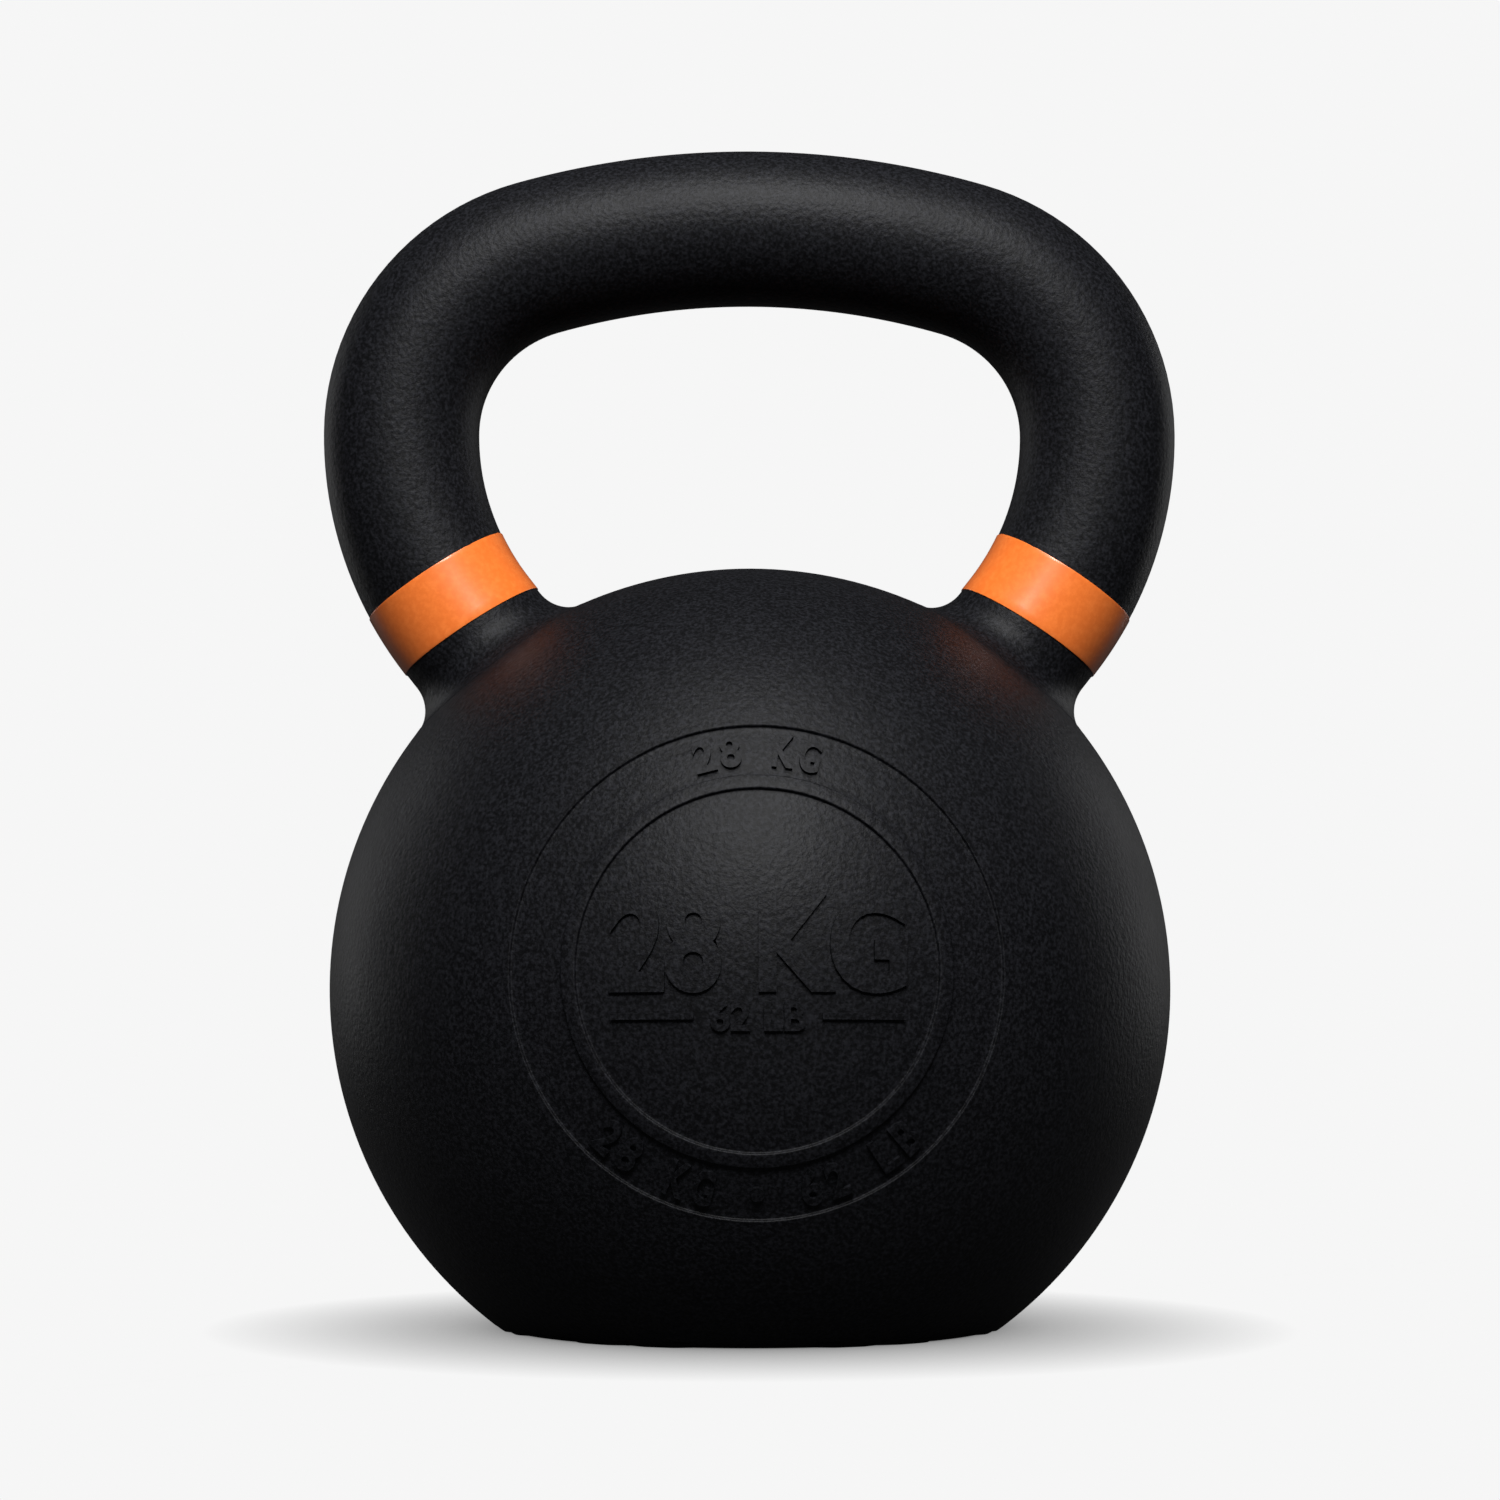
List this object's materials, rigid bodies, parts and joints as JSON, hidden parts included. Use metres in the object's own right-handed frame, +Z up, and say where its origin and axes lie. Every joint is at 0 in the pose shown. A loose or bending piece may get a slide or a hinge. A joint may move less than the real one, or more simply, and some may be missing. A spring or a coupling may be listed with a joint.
{
  "type": "kettlebell",
  "caption": "Cast-iron kettlebell: a ball on a flat base, a looped handle on two horns, glossy orange bands round the horns and a sunk round field with raised weight figures.",
  "frame": {"origin": "centre of the flat that the ball stands on", "axes": "+Z up through the ball to the grip, +X towards the right horn, and the marked face looks along -Y"},
  "size_m": [0.1972, 0.1913, 0.2706],
  "materials": {
    "black_powder_coat": "black fine-textured powder coat over cast iron",
    "orange_gloss": "glossy orange band"
  },
  "bodies": {
    "root": {"bell_casting": "black_powder_coat", "colour_band_left": "orange_gloss", "colour_band_right": "orange_gloss"}
  },
  "joints": []
}
